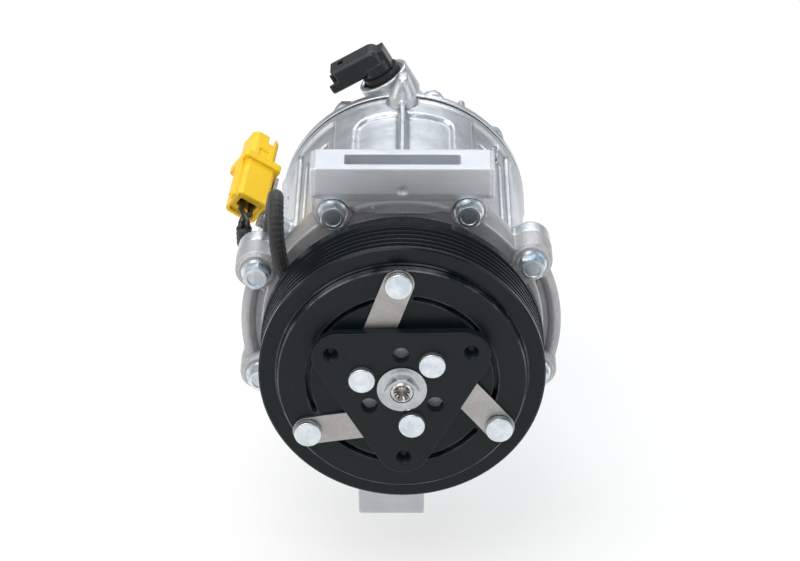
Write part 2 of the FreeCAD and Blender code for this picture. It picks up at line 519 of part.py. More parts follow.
head = fuse([head, skirt] + bosses + [vb, port_blk] + ribs)
# chambers: central discharge volume, annular suction volume
dis = cyl(27.0, 140.0, 160.0)
suc = ring(45.9, 31.5, 140.0, 160.0)
# wall left round the valve bore
vwall = Part.makeCylinder(12.6, 66.0, VLV - VA * 66.0, VA)
cav = fuse([dis]).cut(vwall)
cav2 = suc.cut(vwall).cut([cyl(8.9, 140, 170, *xz(HEAD_BOLT_R, a)) for a in HEAD_BOLT_A])
head = head.cut([cav, cav2])
P_S, P_D, P_T = (-13.5, -20.0), (13.5, -20.0), (0.5, -6.5)
SUC_R, DIS_R = 9.5, 7.2
head = head.cut([cyl(SUC_R, 178.0, 200.0, *P_S), cyl(5.0, 155.0, 200.0, *P_S), cyl(DIS_R, 180.0, 200.0, *P_D),
                 cyl(4.0, 150.0, 200.0, *P_D), cyl(3.4, 175.0, 200.0, *P_T)])
# stepped control valve bore
head = head.cut([Part.makeCylinder(10.3, 8.0, VLV - VA * 7.0, VA), Part.makeCylinder(8.05, 50.0, VLV - VA * 56.0, VA)] +
                [cyl(2.9, 140, 200, *xz(HEAD_BOLT_R, a)) for a in HEAD_BOLT_A])
# oil plug boss and relief valve boss threads
node("rear_head", head)


def head_bolt(a):
    x, z = xz(HEAD_BOLT_R, a)
    seat = HEAD_SEAT + 0.02
    f = turn([(0, seat), (5.6, seat), (5.6, seat + 1.0), (0, seat + 1.0)])
    f.translate(V(x, 0, z))
    return fuse([f, hexprism(8.0, seat + 0.8, seat + 4.4, x, z, a), cyl(2.5, 130.0, seat + 0.5, x, z)])


NODES["rear_head"] = NODES["rear_head"].cut([cyl(6.2, HEAD_SEAT, 200.0, *xz(HEAD_BOLT_R, a)) for a in HEAD_BOLT_A])
node("head_bolts", group([head_bolt(a) for a in HEAD_BOLT_A]))

# ------------------------------ control valve ------------------------------
def vcyl(r, s0, s1):
    return Part.makeCylinder(r, s1 - s0, VLV + VA * s0, VA)


def vbox(m0, m1, s0, s1, y0, y1):
    """Box in the valve frame: m along the plug, s along the valve, y along the shaft."""
    b = Part.makeBox(m1 - m0, s1 - s0, y1 - y0)
    M = FreeCAD.Matrix(VM.x, VA.x, 0, VLV.x + VM.x * m0 + VA.x * s0,
                       VM.y, VA.y, 1, VLV.y + y0,
                       VM.z, VA.z, 0, VLV.z + VM.z * m0 + VA.z * s0,
                       0, 0, 0, 1)
    return _place(b, M)


def _place(b, M):
    c = b.copy()
    c.Placement = FreeCAD.Placement(M)
    return c


valve = fuse([vcyl(7.95, -55.0, -7.0), vcyl(8.9, -6.9, 2.6)])
valve = valve.cut([vcyl(3.05, -52.0, -12.0)])
for s in (-48.0, -38.0, -28.0, -18.0):
    valve = valve.cut(vcyl(9.0, s, s + 1.9).cut(vcyl(6.9, s - 1, s + 3)))
node("control_valve_body", valve)
node("control_valve_rings", group([vcyl(8.03, s + 0.1, s + 1.8).cut(vcyl(6.95, s - 1, s + 3)) for s in (-48.0, -38.0, -28.0, -18.0)]))
node("control_plunger", vcyl(3.0, -50.0, -22.0))
node("valve_snap_ring", vcyl(10.25, -2.6, -1.2).cut(vcyl(9.1, -4, 0)).cut(vbox(7, 12, -4, 0, -2.2, 2.2)))
plug = vbox(-4.5, 23.4, 4.2, 15.4, -6.2, 6.2)
plug = fil(plug, 4.2, lambda e: abs(e.BoundBox.YMax - e.BoundBox.YMin) > 10 and (e.CenterOfMass - VLV).dot(VM) < -4 and (e.CenterOfMass - VLV).dot(VA) > 15)
try:
    plug = plug.makeChamfer(1.6, [e for e in plug.Edges if abs((e.Vertexes[0].Point - e.Vertexes[1].Point).normalize().dot(VM)) > 0.99])
except Exception:
    pass
plug = fuse([plug, vcyl(7.4, 2.65, 8.0), vbox(-7.4, -1.0, 2.7, 13.0, -4.6, 4.6)])
plug = plug.cut([vbox(8.0, 30.0, 6.0, 13.6, -4.4, 4.4), vbox(12.6, 15.8, 13.0, 20.0, -1.7, 1.7), vbox(19.6, 30.0, 9.8, 20.0, -7.0, 7.0), vbox(18.4, 30, 9.2, 13.9, -7, -4.0)])
node("control_connector", plug)
CONTROL_PINS = ([vbox(8.02, 13.5, 9.4, 10.2, y - 0.7, y + 0.7) for y in (-2.0, 2.0)])

# ------------------------------ shaft and seal -----------------------------
shaft = turn([(0, -28.8), (4.2, -28.8), (4.95, -28.0), (4.95, -23.8), (6.0, -22.0), (6.0, -12.2), (8.0, -11.5), (8.0, 54.0),
              (SHAFT_R, 54.0), (SHAFT_R, 131.0), (7.4, 131.6), (0, 131.6)])
spl = [poly_prism([(0, 0), xz(3.3, 30 * k - 7), xz(3.3, 30 * k + 7)], -30, -25.0) for k in range(12)]
shaft = shaft.cut([fuse([cyl(2.3, -30, -24.5)] + spl), cone(4.0, 2.3, -28.81, -27.4)])
node("drive_shaft", shaft)
node("shaft_seal", turn([(8.08, 8.4), (12.65, 8.4), (12.65, 14.6), (8.08, 14.6), (8.08, 13.6), (11.2, 13.6), (11.2, 9.6), (9.6, 9.6)]))
node("seal_snap_ring", ring(13.35, 10.4, 6.0, 7.4).cut(box(-2, 2, 5, 9, -15, -8)))
node("front_shaft_bearing", ring(19.95, 8.06, 27.1, 40.0))
node("lug_rotor", fuse([ring(44.0, 8.02, 46.2, 50.4), ring(15.0, 8.02, 46.2, 57.0),
                        box(-9.0, -4.5, 50.0, 59.0, 14.0, 26.0), box(4.5, 9.0, 50.0, 59.0, 14.0, 26.0)]))
node("thrust_bearing_front", ring(30.0, 21.0, 42.1, 45.9).cut([cyl(1.4, 41, 47, *xz(25.5, 15 * k)) for k in range(24)]))

# ------------------------------ swash plate and pistons --------------------
h = 5.0
prof = [(14.0, SWASH_Y - h), (14.0, SWASH_Y + h), (10.6, SWASH_Y + h), (8.85, SWASH_Y), (10.6, SWASH_Y - h)]
node("swash_sleeve", turn(prof))
sw = turn([(14.05, SWASH_Y - 7.0), (20.0, SWASH_Y - 7.0), (22.5, SWASH_Y - SWASH_T / 2), (SWASH_R, SWASH_Y - SWASH_T / 2),
           (SWASH_R, SWASH_Y + SWASH_T / 2), (22.5, SWASH_Y + SWASH_T / 2), (20.0, SWASH_Y + 7.0), (14.05, SWASH_Y + 7.0)])
node("swash_plate", sw)
SH_FLAT = SWASH_T / 2 + 0.33
for k in range(BORE_N):
    a = 30 + 60 * k
    x, z = xz(BORE_PITCH_R, a)
    c = V(x, SWASH_Y, z)
    ball = Part.makeSphere(SHOE_R, c)
    shoes = group([ball.common(box(x - 20, x + 20, SWASH_Y - 12, SWASH_Y - SH_FLAT, z - 20, z + 20)),
                   ball.common(box(x - 20, x + 20, SWASH_Y + SH_FLAT, SWASH_Y + 12, z - 20, z + 20))])
    node("shoes_%d" % (k + 1), shoes)
    # bridge in the radial frame, then turned to its bore
    u = BORE_PITCH_R
    br = fuse([box(u - 7.5, 49.4, SWASH_Y - 12.5, SWASH_Y + 13.0, -8.0, 8.0)])
    br = br.cut(box(u - 20, 47.0, SWASH_Y - 7.6, SWASH_Y + 7.6, -12, 12))
    br = br.common(cyl(49.3, SWASH_Y - 20, SWASH_Y + 40))
    neckp = cyl(10.0, SWASH_Y + 10.0, 102.0, u, 0).common(cyl(49.3, SWASH_Y, SWASH_Y + 60))
    crown = turn([(0, 100.0), (BORE_R - 0.06, 100.0), (BORE_R - 0.06, 127.0), (0, 127.0)])
    crown.translate(V(u, 0, 0))
    pis = fuse([br, neckp, crown])
    pis = pis.cut([Part.makeSphere(SHOE_R + 0.3, V(u, SWASH_Y, 0)), cyl(8.6, 101.0, 123.0, u, 0)])
    node("piston_%d" % (k + 1), rot(pis, a))

node("rear_shaft_bearing", ring(11.0, 8.06, 109.0, 121.0))

# ------------------------------ coil lead ----------------------------------
def cbox(u0, u1, w0, w1, n0, n1):
    """Box in the plug frame."""
    b = Part.makeBox(u1 - u0, w1 - w0, n1 - n0)
    o = CO + CU * u0 + CW * w0 + CN * n0
    b.Placement = FreeCAD.Placement(FreeCAD.Matrix(CU.x, CW.x, -CN.x, o.x, CU.y, CW.y, -CN.y, o.y,
                                                   CU.z, CW.z, -CN.z, o.z, 0, 0, 0, 1))
    return b


def cbox2(u0, u1, w0, w1, n0, n1, r=0.0):
    """Prism in the plug frame with rounded long edges."""
    if r > 0:
        pl = [(w0 + r, n0), (w1 - r, n0), (w1, n0 + r), (w1, n1 - r), (w1 - r, n1), (w0 + r, n1), (w0, n1 - r), (w0, n0 + r)]
    else:
        pl = [(w0, n0), (w1, n0), (w1, n1), (w0, n1)]
    P = [CO + CU * u0 + CW * a + CN * b for a, b in pl]
    return Part.Face(Part.makePolygon(P + [P[0]])).extrude(CU * (u1 - u0))


# the sleeve leaves the coil radially, climbs over the flange, drops behind it and turns up to the plug
ax, az = xz(42.0, LEAD_A)
bx, bz = xz(58.5, LEAD_A)
SLEEVE = [(ax, 14.9, az), (ax, 22.0, az), (bx, 22.0, bz), (-55.3, 25.0, 45.2), (-55.4, 34.0, 54.5), (-55.6, 46.0, 54.5),
          (-58.0, 60.0, 40.0), (-59.8, 64.0, 22.5), (-71.0, 67.0, 19.0), (-71.2, 66.0, 29.0)]
SLEEVE_BENDS = [4.6, 9.0, 10.0, 6.0, 6.0, 8.0, 5.2, 4.2]
node("coil_lead_sleeve", tube(SLEEVE, SLEEVE_BENDS, SLEEVE_R))


def wire(dw, dn):
    a = V(-71.2, 66.0, 29.5) + V(dw * 1.7, 0, 0)
    b = V(-71.3 + dw * 1.7, 65.9, 33.0)
    e = CO + CU * 6.0 + CW * (dw * 2.2) + CN * (dn * 1.0)
    c = CO + CU * -6.0 + CW * (dw * 2.2) + CN * (dn * 1.0)
    return bent_bar([tuple(a), tuple(b), tuple(c), tuple(e)], [2.2, 3.0], WIRE_R)


node("coil_wires", group([wire(-1.0, 0.0), wire(1.0, 0.0)]))
yc = fuse([cbox2(0.0, 27.0, -7.6, 7.6, -7.2, 7.2, 1.6), cbox2(26.0, 44.0, -6.9, 6.9, -6.5, 6.5, 2.2),
           cbox2(23.2, 27.4, -9.4, 9.4, -7.6, 8.6, 1.0), cbox2(3.0, 25.0, -9.4, -7.0, -1.5, 4.6, 0.6),
           cbox2(-1.4, 5.0, -9.6, -6.5, 2.0, 5.6, 0.5)])
yc = yc.cut([cbox2(-2.0, 1.6, -6.0, 6.0, -5.6, 5.6, 1.2), cbox2(-2.0, 14.0, -4.3, 4.3, -2.3, 2.3, 0.4), cbox2(30.0, 45.0, -5.3, 5.3, -5.0, 5.0, 1.4),
             cbox2(39.5, 45.0, 1.0, 4.0, 4.0, 8.0), cbox2(29.0, 34.0, -2.4, 2.4, 5.9, 8.0)])
node("coil_connector", yc)
node("plug_terminals", group(CONTROL_PINS + [cbox2(30.04, 35.5, w - 0.8, w + 0.8, -0.4, 0.4) for w in (-2.6, 2.6)]))
br_ = fuse([cbox2(-1.0, 22.0, 8.6, 10.3, -5.5, 5.6), cbox2(-13.4, -0.5, 8.6, 10.3, -1.0, 11.0)])
br_ = br_.cut(Part.makeCylinder(2.6, 6.0, lug_c + CW * 7.0, CW))
node("connector_bracket", br_)
scr = fuse([Part.makeCylinder(4.2, 2.6, lug_c + CW * 5.97, CW), Part.makeCylinder(2.0, 12.0, lug_c + CW * 6.5, CW)])
scr = scr.cut(Part.makeCylinder(1.9, 1.4, lug_c + CW * 5.9, CW))
node("bracket_screw", scr)

# ------------------------------ service fittings ---------------------------
NODES["crankcase"] = fuse([NODES["crankcase"], Part.makeCylinder(9.0, 12.0, pol(50.0, -75.0, 112.0), pol(1.0, -75.0))])
NODES["crankcase"] = NODES["crankcase"].cut([Part.makeCylinder(4.05, 30.0, pol(53.5, -75.0, 112.0), pol(1.0, -75.0)),
                                             cyl(BORE_R, 95.0, 150.0, *xz(BORE_PITCH_R, -90))])
d = pol(1.0, -75.0)
b0 = pol(62.04, -75.0, 112.0)
hexo = Part.makeCylinder(6.2, 4.0, b0 + d * 0.0, d)
node("oil_plug", fuse([Part.makeCylinder(7.2, 1.4, b0, d), Part.makeCylinder(4.0, 9.0, b0 - d * 8.0, d),
                       Part.makeCylinder(5.6, 5.0, b0 + d * 1.2, d)]).cut(Part.makeCylinder(2.6, 4.0, b0 + d * 2.6, d)))
rv0 = V(33.0, REAR_Y1 - 5.0, 24.0)
NODES["rear_head"] = fuse([NODES["rear_head"], cyl(7.5, 166.0, 186.0, -27.0, 15.0)]).cut(cyl(3.55, 170.0, 187.0, -27.0, 15.0))
node("relief_valve", fuse([cyl(3.5, 174.0, 187.0, -27.0, 15.0), hexprism(11.0, 186.04, 190.0, -27.0, 15.0), cyl(4.0, 189.5, 193.0, -27.0, 15.0)]).cut(cyl(1.5, 188.0, 194.0, -27.0, 15.0)))

out_dir = "parts"
for n, s in NODES.items():
    sol = s.Solids
    bad = [q for q in sol if not q.isValid()]
    vol = sum(q.Volume for q in sol)
    print("%-22s solids=%-3d vol=%10.1f valid=%s" % (n, len(sol), vol, not bad and s.isValid()))
    s.exportStep("parts/%s.step" % n)
print(len(NODES), "nodes")
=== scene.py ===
import json
import math

import bmesh
import bpy
from mathutils import Matrix, Vector, noise

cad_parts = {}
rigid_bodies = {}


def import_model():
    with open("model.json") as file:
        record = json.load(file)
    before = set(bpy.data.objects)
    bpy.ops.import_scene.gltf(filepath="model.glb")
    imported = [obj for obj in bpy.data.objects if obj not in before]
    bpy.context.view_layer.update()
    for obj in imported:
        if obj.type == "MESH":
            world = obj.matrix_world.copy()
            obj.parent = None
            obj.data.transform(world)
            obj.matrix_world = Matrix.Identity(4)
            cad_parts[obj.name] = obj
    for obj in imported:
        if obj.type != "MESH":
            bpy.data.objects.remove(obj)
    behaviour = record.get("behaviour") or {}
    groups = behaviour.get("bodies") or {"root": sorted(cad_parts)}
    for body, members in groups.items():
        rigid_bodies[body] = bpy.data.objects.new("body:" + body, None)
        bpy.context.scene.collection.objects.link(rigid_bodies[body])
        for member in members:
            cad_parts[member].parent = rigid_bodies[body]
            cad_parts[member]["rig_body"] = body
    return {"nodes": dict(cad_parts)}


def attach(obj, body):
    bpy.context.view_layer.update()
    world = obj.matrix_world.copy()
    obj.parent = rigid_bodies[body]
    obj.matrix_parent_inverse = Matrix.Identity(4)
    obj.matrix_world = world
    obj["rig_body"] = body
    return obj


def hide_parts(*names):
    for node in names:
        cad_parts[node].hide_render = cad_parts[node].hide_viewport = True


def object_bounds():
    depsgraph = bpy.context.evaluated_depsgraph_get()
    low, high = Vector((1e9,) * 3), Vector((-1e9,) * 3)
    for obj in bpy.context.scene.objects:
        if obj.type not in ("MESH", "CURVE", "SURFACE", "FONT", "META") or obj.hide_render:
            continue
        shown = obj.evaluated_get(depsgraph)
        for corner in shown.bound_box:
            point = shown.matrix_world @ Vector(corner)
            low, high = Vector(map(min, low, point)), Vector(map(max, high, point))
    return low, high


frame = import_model()
NODES = frame["nodes"]
CAD_LO, CAD_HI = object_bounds()
MM = 0.001

# ----------------------------------------------------------------- camera
scene = bpy.context.scene
cam_data = bpy.data.cameras.new("cam")
cam_data.sensor_fit = "HORIZONTAL"
cam_data.sensor_width = 36.0
cam_data.lens = 139.8
cam_data.clip_start, cam_data.clip_end = 0.01, 20.0
cam = bpy.data.objects.new("cam", cam_data)
scene.collection.objects.link(cam)
target = Vector((-0.001005, 0.060, 0.005754))
az, el, dist = math.radians(0.263), math.radians(28.917), 1.400
back = Vector((math.sin(az) * math.cos(el), -math.cos(az) * math.cos(el), math.sin(el)))
cam_right = Vector((math.cos(az), math.sin(az), 0.0))
cam_up = back.cross(cam_right)
target = target - cam_right * 0.0002 + cam_up * 0.0003
cam.location = target + back * dist
cam.rotation_mode = "QUATERNION"
cam.rotation_quaternion = (-back).to_track_quat("-Z", "Y")
scene.camera = cam


# ----------------------------------------------------------------- material helpers
class Mat:
    def __init__(self, name):
        self.m = bpy.data.materials.new(name)
        self.m.use_nodes = True
        self.t = self.m.node_tree
        self.t.nodes.clear()
        self.out = self.t.nodes.new("ShaderNodeOutputMaterial")
        self.b = self.t.nodes.new("ShaderNodeBsdfPrincipled")
        self.t.links.new(self.b.outputs[0], self.out.inputs[0])
        self.co = self.t.nodes.new("ShaderNodeTexCoord")

    def n(self, kind, **props):
        node = self.t.nodes.new(kind)
        for k, v in props.items():
            setattr(node, k, v)
        return node

    def put(self, socket, value):
        if isinstance(value, bpy.types.NodeSocket):
            self.t.links.new(value, socket)
        else:
            socket.default_value = value

    def mapped(self, scale, source=None):
        mp = self.n("ShaderNodeMapping")
        self.put(mp.inputs["Vector"], source or self.co.outputs["Object"])
        mp.inputs["Scale"].default_value = scale
        return mp.outputs[0]

    def noise(self, scale, detail=3.0, rough=0.55, vector=None, distortion=0.0):
        t = self.n("ShaderNodeTexNoise")
        self.put(t.inputs["Vector"], vector or self.co.outputs["Object"])
        t.inputs["Scale"].default_value = scale
        t.inputs["Detail"].default_value = detail
        t.inputs["Roughness"].default_value = rough
        t.inputs["Distortion"].default_value = distortion
        return t.outputs["Fac"]

    def voronoi(self, scale, vector=None, feature="F1"):
        t = self.n("ShaderNodeTexVoronoi", feature=feature)
        self.put(t.inputs["Vector"], vector or self.co.outputs["Object"])
        t.inputs["Scale"].default_value = scale
        return t.outputs["Distance"]

    def rng(self, value, a, b, c, d):
        t = self.n("ShaderNodeMapRange")
        self.put(t.inputs["Value"], value)
        for k, v in zip(("From Min", "From Max", "To Min", "To Max"), (a, b, c, d)):
            t.inputs[k].default_value = v
        return t.outputs["Result"]

    def math(self, op, a, b=0.0):
        t = self.n("ShaderNodeMath", operation=op)
        self.put(t.inputs[0], a)
        self.put(t.inputs[1], b)
        return t.outputs[0]

    def mix(self, fac, a, b, blend="MIX"):
        t = self.n("ShaderNodeMix", data_type="RGBA", blend_type=blend)
        self.put(t.inputs["Factor"], fac)
        self.put(t.inputs[6], a if isinstance(a, bpy.types.NodeSocket) else (*a, 1.0))
        self.put(t.inputs[7], b if isinstance(b, bpy.types.NodeSocket) else (*b, 1.0))
        return t.outputs[2]

    def pointy(self, lo, hi):
        g = self.n("ShaderNodeNewGeometry")
        return self.rng(g.outputs["Pointiness"], lo, hi, 0.0, 1.0)

    def bump(self, height, dist, strength=1.0, normal=None):
        t = self.n("ShaderNodeBump")
        t.inputs["Strength"].default_value = strength
        t.inputs["Distance"].default_value = dist
        self.put(t.inputs["Height"], height)
        if normal is not None:
            self.put(t.inputs["Normal"], normal)
        return t.outputs[0]

    def set(self, **kw):
        names = {"color": "Base Color", "rough": "Roughness", "metal": "Metallic", "normal": "Normal",
                 "spec": "Specular IOR Level", "coat": "Coat Weight", "coat_rough": "Coat Roughness",
                 "sheen": "Sheen Weight", "aniso": "Anisotropic"}
        for k, v in kw.items():
            s = self.b.inputs[names[k]]
            if k == "color" and not isinstance(v, bpy.types.NodeSocket):
                v = (*v, 1.0)
            self.put(s, v)
        return self.m


def cast_metal(name, light, dark, rough, grain, grain_mm, lump_mm, speck=0.0, metal=1.0, edge=(0.92, 0.93, 0.95), milled=False):
    """Cast skin: fine grain, slow lumps from the die, painted shade in the hollows and rubbed edges."""
    a = Mat(name)
    g1 = a.noise(1000.0 / grain_mm, 4.0, 0.6)
    g2 = a.noise(1000.0 / lump_mm, 3.0, 0.5)
    g3 = a.noise(38.0, 4.0, 0.6, distortion=0.6)
    pits = a.rng(a.voronoi(900.0), 0.0, 0.34, 1.0, 0.0)
    pits = a.math("MULTIPLY", pits, a.rng(a.noise(210.0, 2.0), 0.55, 0.7, 0.0, 1.0))
    col = a.mix(a.rng(g3, 0.32, 0.68, 0.0, 1.0), light, dark)
    col = a.mix(a.math("MULTIPLY", a.rng(g1, 0.35, 0.72, 0.0, 1.0), 0.30 + speck), col, tuple(0.55 * c for c in dark))
    # painted shade: concave hollows are darkened towards the dark tone
    col = a.mix(a.pointy(0.50, 0.44), col, tuple(0.45 * c for c in dark))
    col = a.mix(a.math("MULTIPLY", a.pointy(0.515, 0.56), 0.7), col, edge)
    r = a.math("ADD", a.rng(g2, 0.3, 0.7, rough - 0.07, rough + 0.07), a.rng(g1, 0.3, 0.7, -0.05, 0.08))
    h = a.math("ADD", a.math("MULTIPLY", g1, grain), a.math("MULTIPLY", g2, 1.0))
    h = a.math("SUBTRACT", h, a.math("MULTIPLY", pits, 0.5))
    if milled:
        # faces that a cutter has cleaned: the upper block and the foot of the lower lug
        xyz = a.n("ShaderNodeSeparateXYZ")
        a.put(xyz.inputs[0], a.co.outputs["Object"])
        edge_z = a.math("ADD", xyz.outputs[2], a.rng(g2, 0.0, 1.0, -0.0006, 0.0006))
        top = a.rng(edge_z, 0.0600, 0.0672, 0.0, 1.0)
        low = a.rng(edge_z, -0.0735, -0.0722, 1.0, 0.0)
        cut = a.math("MAXIMUM", top, low)
        lines = a.noise(10.0, 2.0, 0.5, vector=a.mapped((6.0, 330.0, 330.0)))
        clean = a.mix(a.rng(g3, 0.3, 0.7, 0.0, 1.0), (0.68, 0.705, 0.735), (0.59, 0.615, 0.645))
        clean = a.mix(a.math("MULTIPLY", a.rng(lines, 0.45, 0.75, 0.0, 1.0), 0.22), clean, (0.40, 0.42, 0.45))
        clean = a.mix(a.math("MULTIPLY", a.pointy(0.515, 0.56), 0.8), clean, (0.96, 0.97, 0.98))
        col = a.mix(cut, col, clean)
        mr = a.n("ShaderNodeMix", data_type="FLOAT")
        a.put(mr.inputs[0], cut)
        a.put(mr.inputs[2], r)
        a.put(mr.inputs[3], a.rng(lines, 0.3, 0.7, 0.48, 0.60))
        r = mr.outputs[0]
        mh = a.n("ShaderNodeMix", data_type="FLOAT")
        a.put(mh.inputs[0], cut)
        a.put(mh.inputs[2], h)
        a.put(mh.inputs[3], a.math("MULTIPLY", lines, 0.18))
        h = mh.outputs[0]
    return a.set(color=col, rough=r, metal=metal, normal=a.bump(h, 0.00016, 0.9), spec=0.5)


def turned_metal(name, light, dark, rough, metal=1.0, lines=2600.0, axis=(0.2, 1.0, 0.2), bump=0.00002, worn=0.6):
    """Machined or plated steel: tool marks along one axis, faint stains, bright edges."""
    a = Mat(name)
    v = a.mapped((lines * axis[0] / 10, lines * axis[1] / 10, lines * axis[2] / 10))
    g1 = a.noise(10.0, 3.0, 0.6, vector=v)
    g2 = a.noise(120.0, 4.0, 0.6, distortion=0.4)
    col = a.mix(a.rng(g2, 0.3, 0.7, 0.0, 1.0), light, dark)
    col = a.mix(a.math("MULTIPLY", a.rng(g1, 0.4, 0.75, 0.0, 1.0), 0.25), col, tuple(0.6 * c for c in dark))
    if worn:
        col = a.mix(a.math("MULTIPLY", a.pointy(0.51, 0.58), worn), col, (0.95, 0.95, 0.95))
    r = a.math("ADD", a.rng(g2, 0.3, 0.7, rough - 0.05, rough + 0.06), a.rng(g1, 0.3, 0.7, -0.03, 0.05))
    return a.set(color=col, rough=r, metal=metal, normal=a.bump(g1, bump, 0.8))


def zinc(name, blue_marks=True):
    """Blue-white zinc plate: cloudy passivation, painted shade in the hollows, a dab of marking paint on some heads."""
    a = Mat(name)
    g1 = a.noise(1500.0, 3.0, 0.6)
    g2 = a.noise(170.0, 4.0, 0.6, distortion=0.7)
    col = a.mix(a.rng(g2, 0.35, 0.65, 0.0, 1.0), (0.82, 0.86, 0.89), (0.62, 0.69, 0.74))
    col = a.mix(a.math("MULTIPLY", a.rng(g1, 0.45, 0.75, 0.0, 1.0), 0.25), col, (0.42, 0.46, 0.50))
    # painted shade: concave hollows are darkened
    col = a.mix(a.math("MULTIPLY", a.pointy(0.49, 0.42), 0.45), col, (0.22, 0.25, 0.27))
    if blue_marks:
        m = a.rng(a.noise(170.0, 1.0, 0.4, distortion=0.3), 0.64, 0.70, 0.0, 1.0)
        col = a.mix(a.math("MULTIPLY", m, 0.45), col, (0.10, 0.34, 0.62))
    r = a.math("ADD", a.rng(g2, 0.3, 0.7, 0.24, 0.36), a.rng(g1, 0.3, 0.7, -0.03, 0.06))
    return a.set(color=col, rough=r, metal=0.92, normal=a.bump(g1, 0.00003, 0.8))


def coated_black(name, base, light, rough, dust=0.5, grain=0.00003, rub=()):
    """Baked black coating on steel: faint orange peel, rubbed edges, settled dust."""
    a = Mat(name)
    g1 = a.noise(1900.0, 3.0, 0.6)
    g2 = a.noise(300.0, 3.0, 0.5)
    g3 = a.noise(30.0, 4.0, 0.6, distortion=0.5)
    specks = a.rng(a.voronoi(420.0), 0.035, 0.075, 1.0, 0.0)
    specks = a.math("MULTIPLY", specks, a.rng(a.noise(150.0, 2.0), 0.5, 0.58, 0.0, 1.0))
    col = a.mix(a.rng(g3, 0.3, 0.7, 0.0, 1.0), base, light)
    col = a.mix(a.math("MULTIPLY", a.rng(g1, 0.4, 0.75, 0.0, 1.0), 0.25), col, tuple(1.6 * c for c in light))
    col = a.mix(a.math("MULTIPLY", specks, dust), col, (0.22, 0.23, 0.23))
    for lo, hi, amount in rub:
        # bare metal where a turned edge has lost its coating
        xyz = a.n("ShaderNodeSeparateXYZ")
        a.put(xyz.inputs[0], a.co.outputs["Object"])
        rr = a.math("SQRT", a.math("ADD", a.math("MULTIPLY", xyz.outputs[0], xyz.outputs[0]), a.math("MULTIPLY", xyz.outputs[2], xyz.outputs[2])))
        band = a.math("MULTIPLY", a.rng(rr, lo * MM, (lo + 0.25) * MM, 0.0, 1.0), a.rng(rr, (hi - 0.25) * MM, hi * MM, 1.0, 0.0))
        patch = a.rng(a.noise(60.0, 4.0, 0.6), 0.40, 0.66, 0.0, amount)
        col = a.mix(a.math("MULTIPLY", band, patch), col, (0.36, 0.37, 0.38))
    r = a.math("ADD", a.rng(g2, 0.3, 0.7, rough - 0.05, rough + 0.06), a.rng(g1, 0.3, 0.7, -0.04, 0.06))
    h = a.math("ADD", g1, a.math("MULTIPLY", g2, 1.2))
    return a.set(color=col, rough=r, metal=0.0, normal=a.bump(h, grain, 0.8), spec=0.23)


def plastic(name, base, deep, rough, grain=0.00004, scale=900.0, painted_corner_sheen=(1, 1, 1), edge=0.25, spec=0.5):
    """Moulded plastic: sparked grain, painted shade in the folds, rubbed corners lightened with a painted sheen."""
    a = Mat(name)
    g1 = a.noise(scale, 4.0, 0.6)
    g2 = a.noise(70.0, 4.0, 0.6, distortion=0.6)
    col = a.mix(a.rng(g2, 0.3, 0.7, 0.0, 0.55), base, deep)
    # painted shade: concave folds are darkened
    col = a.mix(a.pointy(0.50, 0.42), col, tuple(0.6 * c for c in deep))
    # rubbed corners plus a painted highlight: convex edges are lightened towards the sheen colour
    col = a.mix(a.math("MULTIPLY", a.pointy(0.52, 0.60), edge), col, painted_corner_sheen)
    r = a.math("ADD", a.rng(g2, 0.3, 0.7, rough - 0.05, rough + 0.06), a.rng(g1, 0.3, 0.7, -0.04, 0.05))
    return a.set(color=col, rough=r, metal=0.0, normal=a.bump(g1, grain, 0.7), spec=spec)


